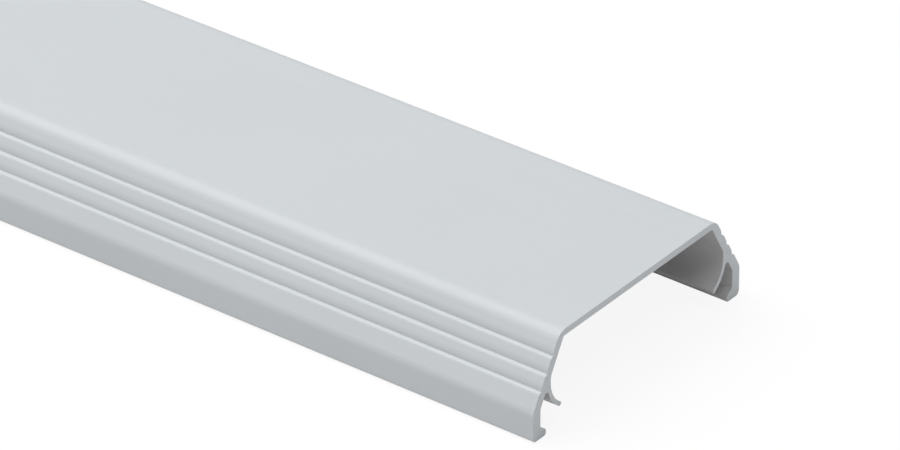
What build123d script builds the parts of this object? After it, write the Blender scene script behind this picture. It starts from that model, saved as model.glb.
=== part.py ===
from build123d import *
import os
from math import cos, radians, tan

# Snap-fit cover of a two-piece cord raceway, one length of extruded rigid PVC.
# The section lies in the YZ plane and is the same along the whole length, which runs along X.
# The origin is under the middle of the cover, on the plane that its feet stand on.

# Stock as it is sold, mm
LENGTH = 1000.0
WIDTH = 104.0  # outside the two skirts
HEIGHT = 32.2  # feet to top face

# Walls and the rounds that join them
TOP_WALL = 2.25
SIDE_WALL = 2.05  # at the first ledge, where the side wall is thinnest
SKIRT_WALL = 3.7
CORNER_RADIUS = 5.1  # outside, from the top face into the side wall
BEND_RADIUS = 5.0  # outside, from the side wall into the skirt
INNER_CORNER_RADIUS = 1.0
INNER_BEND_RADIUS = 2.0  # inside, from the side wall into the skirt

# Outside of the side wall: leaning bands, each set back above a ledge
STEP_COUNT = 3
STEP_PITCH = 4.74  # height from ledge to ledge
FIRST_DROP = 6.82  # top face to the first ledge
LAST_DROP = 5.85  # last ledge to the bend into the skirt
BAND_LEAN = 29.3  # degrees from upright
BAND_FOOT = 1.4  # upright stretch at the lower edge of each band
BAND_RADIUS = 4.5  # from a band into its upright foot
LEDGE_WIDTH = 0.95
LEDGE_RADIUS = 1.3
LEDGE_INNER_RADIUS = 0.12

# Foot of the skirt, with the lip that catches the base
FOOT_RADIUS = 1.6
LIP_REACH = 2.75  # inwards from the skirt's inner face
LIP_NOSE_HEIGHT = 1.95  # upright nose below the lip's sloping top
LIP_SLOPE = 36.0  # degrees
LIP_NOSE_RADIUS = 0.9

# Snap leg: a thin arc that hangs from the inside of the side wall
LEG_WALL = 1.45
LEG_RADIUS = 11.6  # middle of the leg's thickness
LEG_ROOT_HEIGHT = 17.0  # where the leg hangs upright, above the feet
LEG_SINK = 0.35  # set of the leg's outer face into the side wall at that height
LEG_TURN = 56.5  # degrees from upright to the tip
POCKET_RADIUS = 1.0  # between the leg and the wall, at the top of the pocket
LEG_BLEND_RADIUS = 1.2  # from the wall into the leg, on the side of the cords

# Places worked out from the sizes above, on the half with positive Y
half_width = WIDTH / 2
band_run = tan(radians(BAND_LEAN))  # outward run of a band for each mm of drop
step_run = LEDGE_WIDTH + (STEP_PITCH - BAND_FOOT) * band_run
first_run = (FIRST_DROP - BAND_FOOT) * band_run
last_run = LEDGE_WIDTH + LAST_DROP * band_run
top_half_width = half_width - first_run - (STEP_COUNT - 1) * step_run - last_run
first_ledge = Vector(top_half_width + first_run, HEIGHT - FIRST_DROP)
step = Vector(step_run, -STEP_PITCH)
skirt_inside = half_width - SKIRT_WALL
bend_height = HEIGHT - FIRST_DROP - (STEP_COUNT - 1) * STEP_PITCH - LAST_DROP


def side_wall_inside(height):
    """Distance from the middle to the side wall's inner face, parallel to the bands, at a height."""
    through_first_ledge = first_ledge.X + (first_ledge.Y - height) * band_run
    return through_first_ledge - SIDE_WALL / cos(radians(BAND_LEAN))


def height_on_inside(distance):
    """Height at which the side wall's inner face is that far from the middle."""
    return HEIGHT - (distance - side_wall_inside(HEIGHT)) / band_run


def step_corners():
    """Corners of the stepped bands from the top down, each with its radius."""
    corners = []
    for index in range(STEP_COUNT):
        ledge = first_ledge + step * index
        corners.append((ledge + Vector(0, BAND_FOOT), BAND_RADIUS))
        corners.append((ledge, LEDGE_INNER_RADIUS))
        corners.append((ledge + Vector(LEDGE_WIDTH, 0), LEDGE_RADIUS))
    return corners


def lip_corners():
    """Corners of the foot and its lip, from the skirt's outer face round to its inner face."""
    nose = skirt_inside - LIP_REACH
    lip_root_height = LIP_NOSE_HEIGHT + LIP_REACH * tan(radians(LIP_SLOPE))
    return [
        (Vector(half_width, 0), FOOT_RADIUS),
        (Vector(nose, 0), LIP_NOSE_RADIUS),
        (Vector(nose, LIP_NOSE_HEIGHT), LIP_NOSE_RADIUS),
        (Vector(skirt_inside, lip_root_height), 0),
    ]


def half_shell():
    """Top plate, stepped side wall, skirt and lip, from the middle outwards and back inside."""
    underside = HEIGHT - TOP_WALL
    corners = [
        (Vector(0, HEIGHT), 0),
        (Vector(top_half_width, HEIGHT), CORNER_RADIUS),
        *step_corners(),
        (Vector(half_width, bend_height), BEND_RADIUS),
        *lip_corners(),
        (Vector(skirt_inside, height_on_inside(skirt_inside)), INNER_BEND_RADIUS),
        (Vector(side_wall_inside(underside), underside), INNER_CORNER_RADIUS),
        (Vector(0, underside), 0),
    ]
    points = [point for point, radius in corners]
    radii = [radius for point, radius in corners]
    return make_face(FilletPolyline(*points, radius=radii, close=True).edges())


def snap_leg():
    """Thin arc with a round tip, its upper end sunk in the side wall and parallel to it there."""
    outer_radius = LEG_RADIUS + LEG_WALL / 2
    inner_radius = LEG_RADIUS - LEG_WALL / 2
    upright = side_wall_inside(LEG_ROOT_HEIGHT) + LEG_SINK
    centre = Vector(upright - outer_radius, LEG_ROOT_HEIGHT)
    sweep = BAND_LEAN + LEG_TURN
    tip = centre + Vector(LEG_RADIUS, 0).rotate(Axis.Z, -LEG_TURN)
    outer = CenterArc(centre, outer_radius, BAND_LEAN, -sweep)
    tip_round = CenterArc(tip, LEG_WALL / 2, -LEG_TURN, -180)
    inner = CenterArc(centre, inner_radius, -LEG_TURN, sweep)
    root = Line(inner @ 1, outer @ 0)
    return make_face([outer, tip_round, inner, root])


def half_with_leg():
    """Shell and leg joined, with a radius on both sides of the leg's root."""
    joined = half_shell() + snap_leg()
    wall_at_root = Vector(side_wall_inside(LEG_ROOT_HEIGHT), LEG_ROOT_HEIGHT)
    joined = fillet(joined.vertices().sort_by_distance(wall_at_root)[0], POCKET_RADIUS)
    above_root = wall_at_root + Vector(-LEG_WALL, LEG_WALL / band_run)
    return fillet(joined.vertices().sort_by_distance(above_root)[0], LEG_BLEND_RADIUS)


half_section = half_with_leg()
section = half_section + mirror(half_section, about=Plane.YZ)
raceway_cover = extrude(Plane.YZ * section, amount=LENGTH / 2, both=True)
raceway_cover.label = "raceway_cover"

os.makedirs("parts", exist_ok=True)
export_step(raceway_cover, "parts/raceway_cover.step")
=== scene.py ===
# %% [markdown]
# # One length of cord cover
# The object is the snap-fit cover of a cord raceway: a strip of light grey rigid PVC that was pushed
# hot through a die, cooled in water and sawn to length. Its whole shape is one section, so the CAD
# model already holds every form. What is left for Blender is the finish of the plastic, the light
# that makes the stepped sides readable, and the view.
#
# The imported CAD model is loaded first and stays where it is. Its box is kept, to compare with the
# finished model at the end.

# %% Load the CAD model
import bmesh
import bpy
from math import cos, pi, radians, sin
from mathutils import Matrix, Vector


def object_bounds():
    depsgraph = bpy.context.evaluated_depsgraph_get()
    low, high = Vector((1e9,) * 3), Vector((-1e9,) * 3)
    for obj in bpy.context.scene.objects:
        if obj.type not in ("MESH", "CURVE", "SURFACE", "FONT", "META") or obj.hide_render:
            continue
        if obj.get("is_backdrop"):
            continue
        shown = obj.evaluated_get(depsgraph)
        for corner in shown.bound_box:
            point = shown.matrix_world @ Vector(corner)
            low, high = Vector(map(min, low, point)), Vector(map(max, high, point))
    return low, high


MM_PER_METRE = 1000

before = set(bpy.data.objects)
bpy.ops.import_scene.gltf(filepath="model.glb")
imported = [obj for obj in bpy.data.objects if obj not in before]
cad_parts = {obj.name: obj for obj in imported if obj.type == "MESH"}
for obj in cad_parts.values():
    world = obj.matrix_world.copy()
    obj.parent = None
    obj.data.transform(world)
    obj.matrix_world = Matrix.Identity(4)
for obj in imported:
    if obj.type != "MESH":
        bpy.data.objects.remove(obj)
cad_low, cad_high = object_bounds()
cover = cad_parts["raceway_cover"]
print("cover, mm:", [round(side * MM_PER_METRE, 1) for side in cad_high - cad_low])
print(f"its mesh has {len(cover.data.polygons)} triangles")

# %% [markdown]
# ## Helpers for shader nodes
# A procedural material is a small graph: coordinates go into textures, textures into mixes, and mixes
# into the shader. Written out, each node takes many lines, so one helper adds a node, sets its
# options and fills its inputs. An input that is given another node's output gets linked to it.
#
# The Mix node has a set of sockets for each kind of value under the same names, so they go by number:
# 0 is the factor, 2 and 3 are the two numbers, and 6 and 7 the two colours.


# %% Node helpers
def add_node(tree, kind, inputs=None, **options):
    """Adds a node of this kind, with its options set and its inputs filled or linked."""
    node = tree.nodes.new(kind)
    for name, value in options.items():
        setattr(node, name, value)
    for name, value in (inputs or {}).items():
        if isinstance(value, bpy.types.NodeSocket):
            tree.links.new(value, node.inputs[name])
        else:
            node.inputs[name].default_value = value
    return node


def calculate(tree, operation, first, second=0.0):
    """The result of a Math node."""
    return add_node(tree, "ShaderNodeMath", {0: first, 1: second}, operation=operation).outputs[0]


def mix_numbers(tree, factor, low, high):
    """A number that goes from low to high as the factor goes from 0 to 1."""
    return add_node(tree, "ShaderNodeMix", {0: factor, 2: low, 3: high}).outputs[0]


def mix_colours(tree, factor, first, second):
    """A colour that goes from first to second as the factor goes from 0 to 1."""
    inputs = {0: factor, 6: first, 7: second}
    return add_node(tree, "ShaderNodeMix", inputs, data_type="RGBA").outputs[2]


# %% [markdown]
# ## Light grey PVC, as it leaves the die
# Up close, extruded PVC isn't an even grey. The die leaves faint lines along the length, a millimetre
# or so apart, and the cooling leaves a soft cloudiness a few centimetres across. Both can come from
# noise: stretched a thousandfold along X for the lines, and left round for the clouds. Object
# coordinates are metres in the CAD frame here, so a noise scale of 1000 means one blob per millimetre.
#
# Painting an image would fix the resolution and need an unwrapped mesh. Noise needs neither, and the
# lines run straight along every band and ledge, as they do on the real strip.

# %% Patterns of the drawn surface
ALONG_TO_ACROSS = 0.001
DIE_LINES_PER_METRE = 800.0
CLOUDS_PER_METRE = 22.0


def noise(tree, place, per_metre, detail):
    """Noise with this many blobs per metre, and with finer ones on top as the detail goes up."""
    inputs = {"Vector": place, "Scale": per_metre, "Detail": detail}
    return add_node(tree, "ShaderNodeTexNoise", inputs).outputs["Fac"]


pvc = bpy.data.materials.new("light_grey_pvc_finish")
pvc.use_nodes = True
tree = pvc.node_tree
tree.nodes.clear()

place_on_cover = add_node(tree, "ShaderNodeTexCoord").outputs["Object"]
stretched = add_node(
    tree, "ShaderNodeMapping", {"Vector": place_on_cover, "Scale": (ALONG_TO_ACROSS, 1, 1)}
).outputs["Vector"]
die_lines = noise(tree, stretched, DIE_LINES_PER_METRE, detail=3.0)
clouds = noise(tree, place_on_cover, CLOUDS_PER_METRE, detail=2.0)
print(f"drawn surface: {DIE_LINES_PER_METRE:.0f} die lines and {CLOUDS_PER_METRE:.0f} clouds per metre")

# %% [markdown]
# ## The sawn ends
# Both ends are cut square with a circular saw. Its teeth leave shallow arcs, and the torn plastic is
# rougher and a little paler than the drawn skin. Their grey is set about a fifth paler than the skin,
# which is more than the torn plastic gives: the rest is painted light, because the cut ends face away
# from the main lamp. The cut faces are the only ones whose normal points along X, so the normal tells
# them apart, and the mesh needs no second material. A normal is one unit long, so a part of more than
# 0.7 along X is enough to go by.
#
# The arcs are rings of a Wave texture around a blade centre well below the strip. At a scale of 1 that
# texture has 20 / (2 * pi) rings per metre, which gives the distance from arc to arc.

# %% Pattern of the saw cut
FACING_ALONG = 0.7
BLADE_CENTRE = Vector((0.0, 0.06, -0.14))
RINGS_AT_SCALE_ONE = 20 / (2 * pi)
ARC_SCALE = 190.0
ARC_WANDER = 3.0
ARC_DETAIL = 2.0

normal = add_node(tree, "ShaderNodeNewGeometry").outputs["Normal"]
normal_parts = add_node(tree, "ShaderNodeSeparateXYZ", {"Vector": normal}).outputs
facing_along = calculate(tree, "ABSOLUTE", normal_parts["X"])
sawn = calculate(tree, "GREATER_THAN", facing_along, FACING_ALONG)
from_blade = add_node(
    tree, "ShaderNodeMapping", {"Vector": place_on_cover, "Location": -BLADE_CENTRE}
).outputs["Vector"]
saw_arcs = add_node(
    tree,
    "ShaderNodeTexWave",
    {"Vector": from_blade, "Scale": ARC_SCALE, "Distortion": ARC_WANDER, "Detail": ARC_DETAIL},
    wave_type="RINGS",
    rings_direction="X",
).outputs["Fac"]
print(f"sawn ends: an arc every {MM_PER_METRE / (RINGS_AT_SCALE_ONE * ARC_SCALE):.2f} mm")

# %% [markdown]
# ## Outside and inside
# The inner faces, which lie in shade, get a plain, warmer grey than the slightly bluish outside: a
# painted tint of the shade. The normal finds the inner faces too: they look down, or towards the
# upright plane through the middle of the strip.
# The sign of Y says on which side of that plane a point lies. The limit of a tenth keeps the flat top
# out, whose normal leans to neither side. Only the back of each snap leg is missed, because it looks
# outwards, and there it is hidden in its pocket.

# %% Inner faces
FACING_MIDDLE = -0.1
FACING_DOWN = -0.5

place_across = add_node(tree, "ShaderNodeSeparateXYZ", {"Vector": place_on_cover}).outputs["Y"]
side_of_middle = calculate(tree, "SIGN", place_across)
facing_outwards = calculate(tree, "MULTIPLY", normal_parts["Y"], side_of_middle)
looks_to_middle = calculate(tree, "LESS_THAN", facing_outwards, FACING_MIDDLE)
looks_down = calculate(tree, "LESS_THAN", normal_parts["Z"], FACING_DOWN)
inside = calculate(tree, "MAXIMUM", looks_to_middle, looks_down)


def is_inside(triangle):
    """The same rule for one triangle of the mesh."""
    outwards = triangle.normal.y if triangle.center.y > 0 else -triangle.normal.y
    return outwards < FACING_MIDDLE or triangle.normal.z < FACING_DOWN


inner_triangles = sum(is_inside(triangle) for triangle in cover.data.polygons)
print(f"{inner_triangles} of the triangles are on the inside")

# %% [markdown]
# ## Colour
# The lines and clouds move the colour by about one part in forty, enough to take the flatness away.
# Each noise stays near one half, so the two add up to about 1, and their usual range is spread over
# the step from the darker to the paler grey. On the cut ends, the saw's arcs move a paler colour
# instead, which is partly the torn plastic and partly painted light.

# %% Colour of the PVC
OUTER_DARK = (0.580, 0.609, 0.630, 1.0)
OUTER_PALE = (0.594, 0.623, 0.644, 1.0)
# The inner greys are a painted tint of shade: the faces inside the cover, which lie in shade, get a warmer
# grey than the outside.
INNER_PAINTED_SHADE_TINT_DARK = (0.604, 0.602, 0.606, 1.0)
INNER_PAINTED_SHADE_TINT_PALE = (0.618, 0.616, 0.620, 1.0)
# The cut greys are partly the paler torn plastic and partly painted light, which lifts the cut ends that
# face away from the main lamp.
CUT_WITH_PAINTED_LIGHT_DARK = (0.705, 0.737, 0.761, 1.0)
CUT_WITH_PAINTED_LIGHT_PALE = (0.747, 0.779, 0.803, 1.0)
USUAL_LOW = 0.7
USUAL_HIGH = 1.3

lines_and_clouds = calculate(tree, "ADD", die_lines, clouds)
tone = add_node(
    tree,
    "ShaderNodeMapRange",
    {"Value": lines_and_clouds, "From Min": USUAL_LOW, "From Max": USUAL_HIGH},
).outputs["Result"]
outer_colour = mix_colours(tree, tone, OUTER_DARK, OUTER_PALE)
# Painted shade tint for the inner faces.
inner_painted_shade_tint_colour = mix_colours(tree, tone, INNER_PAINTED_SHADE_TINT_DARK, INNER_PAINTED_SHADE_TINT_PALE)
drawn_colour = mix_colours(tree, inside, outer_colour, inner_painted_shade_tint_colour)
# Cut ends: the torn plastic's grey, with painted light on top.
cut_colour_with_painted_light = mix_colours(tree, saw_arcs, CUT_WITH_PAINTED_LIGHT_DARK, CUT_WITH_PAINTED_LIGHT_PALE)
colour = mix_colours(tree, sawn, drawn_colour, cut_colour_with_painted_light)
print("outside", OUTER_DARK[:3], "inside", INNER_PAINTED_SHADE_TINT_DARK[:3], "cut", CUT_WITH_PAINTED_LIGHT_DARK[:3])

# %% [markdown]
# ## Gloss and relief
# The gloss moves more than the colour, because the eye finds die lines in the sheen. Grooves as fine
# as these would take millions of faces, so the relief is a bump: three thousandths of a millimetre
# deep, and two hundredths where the saw went. The heights are in metres, so the Bump node's distance
# is 1.

# %% Finish of the PVC
DRAWN_ROUGHNESS = (0.44, 0.56)
CUT_ROUGHNESS = (0.55, 0.7)
PVC_IOR = 1.53
DIE_RELIEF = 0.000003
SAW_RELIEF = 0.00002

drawn_roughness = mix_numbers(tree, die_lines, *DRAWN_ROUGHNESS)
cut_roughness = mix_numbers(tree, saw_arcs, *CUT_ROUGHNESS)
roughness = mix_numbers(tree, sawn, drawn_roughness, cut_roughness)

drawn_height = calculate(tree, "MULTIPLY", die_lines, DIE_RELIEF)
cut_height = calculate(tree, "MULTIPLY", saw_arcs, SAW_RELIEF)
surface_height = mix_numbers(tree, sawn, drawn_height, cut_height)
relief = add_node(tree, "ShaderNodeBump", {"Height": surface_height, "Distance": 1.0}).outputs["Normal"]

shader = add_node(
    tree,
    "ShaderNodeBsdfPrincipled",
    {"Base Color": colour, "Roughness": roughness, "Normal": relief, "IOR": PVC_IOR},
)
add_node(tree, "ShaderNodeOutputMaterial", {"Surface": shader.outputs["BSDF"]})
cover.material_slots[0].material = pvc
print(f"{pvc.name}: {len(tree.nodes)} nodes")

# %% [markdown]
# ## White to the eye, pale to the light
# The strip lies on a seamless white sweep. A floor that is lit to white by lamps alone would need
# more light than the plastic can take. So floor and sky are white only for the camera, for
# reflections and through glass, which the Light Path node can tell, and grey for the rays that carry
# light.


# %% Helpers for floor and sky
def seen_directly(tree):
    """1 for rays from the camera, from reflections and through glass, and 0 for those that carry light."""
    ray = add_node(tree, "ShaderNodeLightPath").outputs
    seen = calculate(tree, "MAXIMUM", ray["Is Camera Ray"], ray["Is Glossy Ray"])
    return calculate(tree, "MAXIMUM", seen, ray["Is Transmission Ray"])


def mix_shaders(tree, factor, first, second):
    """A Mix Shader node between two shader nodes."""
    inputs = {0: factor, 1: first.outputs[0], 2: second.outputs[0]}
    return add_node(tree, "ShaderNodeMixShader", inputs)


# %% [markdown]
# ## Paint of the floor
# To the light, the floor is a pale matte sheet that throws some of it up against the skirts. To the
# camera it mostly glows, and only a small share stays matte, so that the strip's shadow shows as a
# faint grey. Seen from below, the sheet lets the view through to the inside of the cover.

# %% Floor paint
WHITE = (1.0, 1.0, 1.0, 1.0)
FLOOR_PALE = (0.7, 0.7, 0.7, 1.0)
FLOOR_GLOW = 0.9

floor_paint = bpy.data.materials.new("white_sweep")
floor_paint.use_nodes = True
tree = floor_paint.node_tree
tree.nodes.clear()
matte = add_node(tree, "ShaderNodeBsdfDiffuse", {"Color": FLOOR_PALE})
bright_matte = add_node(tree, "ShaderNodeBsdfDiffuse", {"Color": WHITE})
glow = add_node(tree, "ShaderNodeEmission", {"Color": WHITE, "Strength": 1.0})
shown = mix_shaders(tree, FLOOR_GLOW, bright_matte, glow)
upper_face = mix_shaders(tree, seen_directly(tree), matte, shown)
lower_face = add_node(tree, "ShaderNodeBsdfTransparent", {"Color": WHITE})
from_below = add_node(tree, "ShaderNodeNewGeometry").outputs["Backfacing"]
surface = mix_shaders(tree, from_below, upper_face, lower_face)
add_node(tree, "ShaderNodeOutputMaterial", {"Surface": surface.outputs[0]})
print(f"{floor_paint.name}: {FLOOR_GLOW:.0%} glow for the camera")

# %% [markdown]
# ## Floor
# One large square is enough. It lies a tenth of a millimetre below the feet, because two faces in the
# same plane would flicker where they touch.

# %% Floor
FLOOR_SIZE = 12.0
FLOOR_GAP = 0.0001

sheet = bmesh.new()
under_the_feet = Matrix.Translation((0, 0, cad_low.z - FLOOR_GAP))
bmesh.ops.create_grid(sheet, x_segments=1, y_segments=1, size=FLOOR_SIZE / 2, matrix=under_the_feet)
floor_mesh = bpy.data.meshes.new("floor")
sheet.to_mesh(floor_mesh)
sheet.free()
floor_mesh.materials.append(floor_paint)
floor = bpy.data.objects.new("floor", floor_mesh)
bpy.context.scene.collection.objects.link(floor)
floor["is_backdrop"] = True
print(f"floor: {floor.dimensions.x:.1f} x {floor.dimensions.y:.1f} m")

# %% [markdown]
# ## Sky
# The room around the strip is an even soft grey for the light and white for the camera. It fills the
# shadows, so that the inside of the cover isn't black.

# %% Sky
SKY_LEVEL = 0.27

sky = bpy.data.worlds.new("sky")
sky.use_nodes = True
tree = sky.node_tree
tree.nodes.clear()
light_giver = add_node(tree, "ShaderNodeBackground", {"Color": WHITE, "Strength": SKY_LEVEL})
white_view = add_node(tree, "ShaderNodeBackground", {"Color": WHITE, "Strength": 1.0})
surface = mix_shaders(tree, seen_directly(tree), light_giver, white_view)
add_node(tree, "ShaderNodeOutputWorld", {"Surface": surface.outputs[0]})
bpy.context.scene.world = sky
print(f"sky at {SKY_LEVEL}")

# %% [markdown]
# ## Three softboxes
# The photograph's shading goes evenly from the pale top over the leaning bands to the darker skirt,
# with a soft bright line on the rounded corner and on every ledge. That is one broad lamp above the
# strip, leaning to the stepped side and away from the cut end, which stays darker.
#
# Inside the cover, the far wall is dark below the top plate and brighter on the upturned face of the
# snap leg, close to the cut end. A smaller lamp that leans the other way gives just that: it is so
# steep that its light reaches in under the plate by only a centimetre or so. A third, weak lamp lifts
# the upright skirt. All three stand far off, so that the light is as even along the strip as in the
# photograph.
#
# A small lamp of P watts at d metres shows a surface that faces it at P / (pi * d) ** 2 times its own
# colour, so the wanted level gives the power. A lamp as broad as the first one gives a little less,
# because its edges are farther away and seen at a slant.

# %% Softboxes
LAMP_DISTANCE = 5.0


def softbox(name, direction, size, level):
    """A square lamp that faces the strip from this direction and lights it at this level."""
    lamp = bpy.data.lights.new(name, "AREA")
    lamp.size = size
    lamp.energy = level * (pi * LAMP_DISTANCE) ** 2
    stand = bpy.data.objects.new(name, lamp)
    towards_lamp = Vector(direction).normalized()
    stand.location = towards_lamp * LAMP_DISTANCE
    stand.rotation_euler = towards_lamp.to_track_quat("Z", "Y").to_euler()
    bpy.context.scene.collection.objects.link(stand)
    print(f"{name}: {lamp.energy:.0f} W at {LAMP_DISTANCE} m")


softbox("overhead_softbox", direction=(-0.42, -0.15, 0.90), size=5.0, level=0.928)
softbox("end_softbox", direction=(0.35, -0.15, 0.92), size=2.0, level=0.17)
softbox("side_softbox", direction=(0.0, -1.0, 0.15), size=3.0, level=0.084)

# %% [markdown]
# ## The view
# The photograph looks down on the cut end from its stepped side with a long lens, so that parallel
# edges stay almost parallel. The camera is set by its two angles and its distance from the middle of
# the cut end's top edge. The sideways and upward offsets put that point where it lies in the
# photograph, right of the middle.

# %% Camera
AZIMUTH = radians(37.336)
ELEVATION = radians(31.503)
DISTANCE = 2.04431
SIDEWAYS = 0.05566
UPWARDS = -0.0149
LENS_MM = 277.74

right = Vector((cos(AZIMUTH), sin(AZIMUTH), 0))
backward = Vector((sin(AZIMUTH) * cos(ELEVATION), -cos(AZIMUTH) * cos(ELEVATION), sin(ELEVATION)))
upward = backward.cross(right)
end_top = Vector((cad_high.x, 0, cad_high.z))
viewpoint = end_top + backward * DISTANCE - right * SIDEWAYS - upward * UPWARDS
view_turn = Matrix((right, upward, backward)).transposed().to_4x4()

lens = bpy.data.cameras.new("camera")
lens.lens = LENS_MM
camera = bpy.data.objects.new("camera", lens)
camera.matrix_world = Matrix.Translation(viewpoint) @ view_turn
bpy.context.scene.collection.objects.link(camera)
bpy.context.scene.camera = camera
bpy.context.scene.view_settings.view_transform = "Standard"
print("camera at", [round(part, 3) for part in viewpoint])

# %% [markdown]
# ## Compare the boxes
# A finish adds no size.

# %% Sizes and finish
shown_low, shown_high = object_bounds()
growth = max((shown_low - cad_low).length, (shown_high - cad_high).length)
print(f"the finish moved the corners of the box by {growth * MM_PER_METRE:.3f} mm")
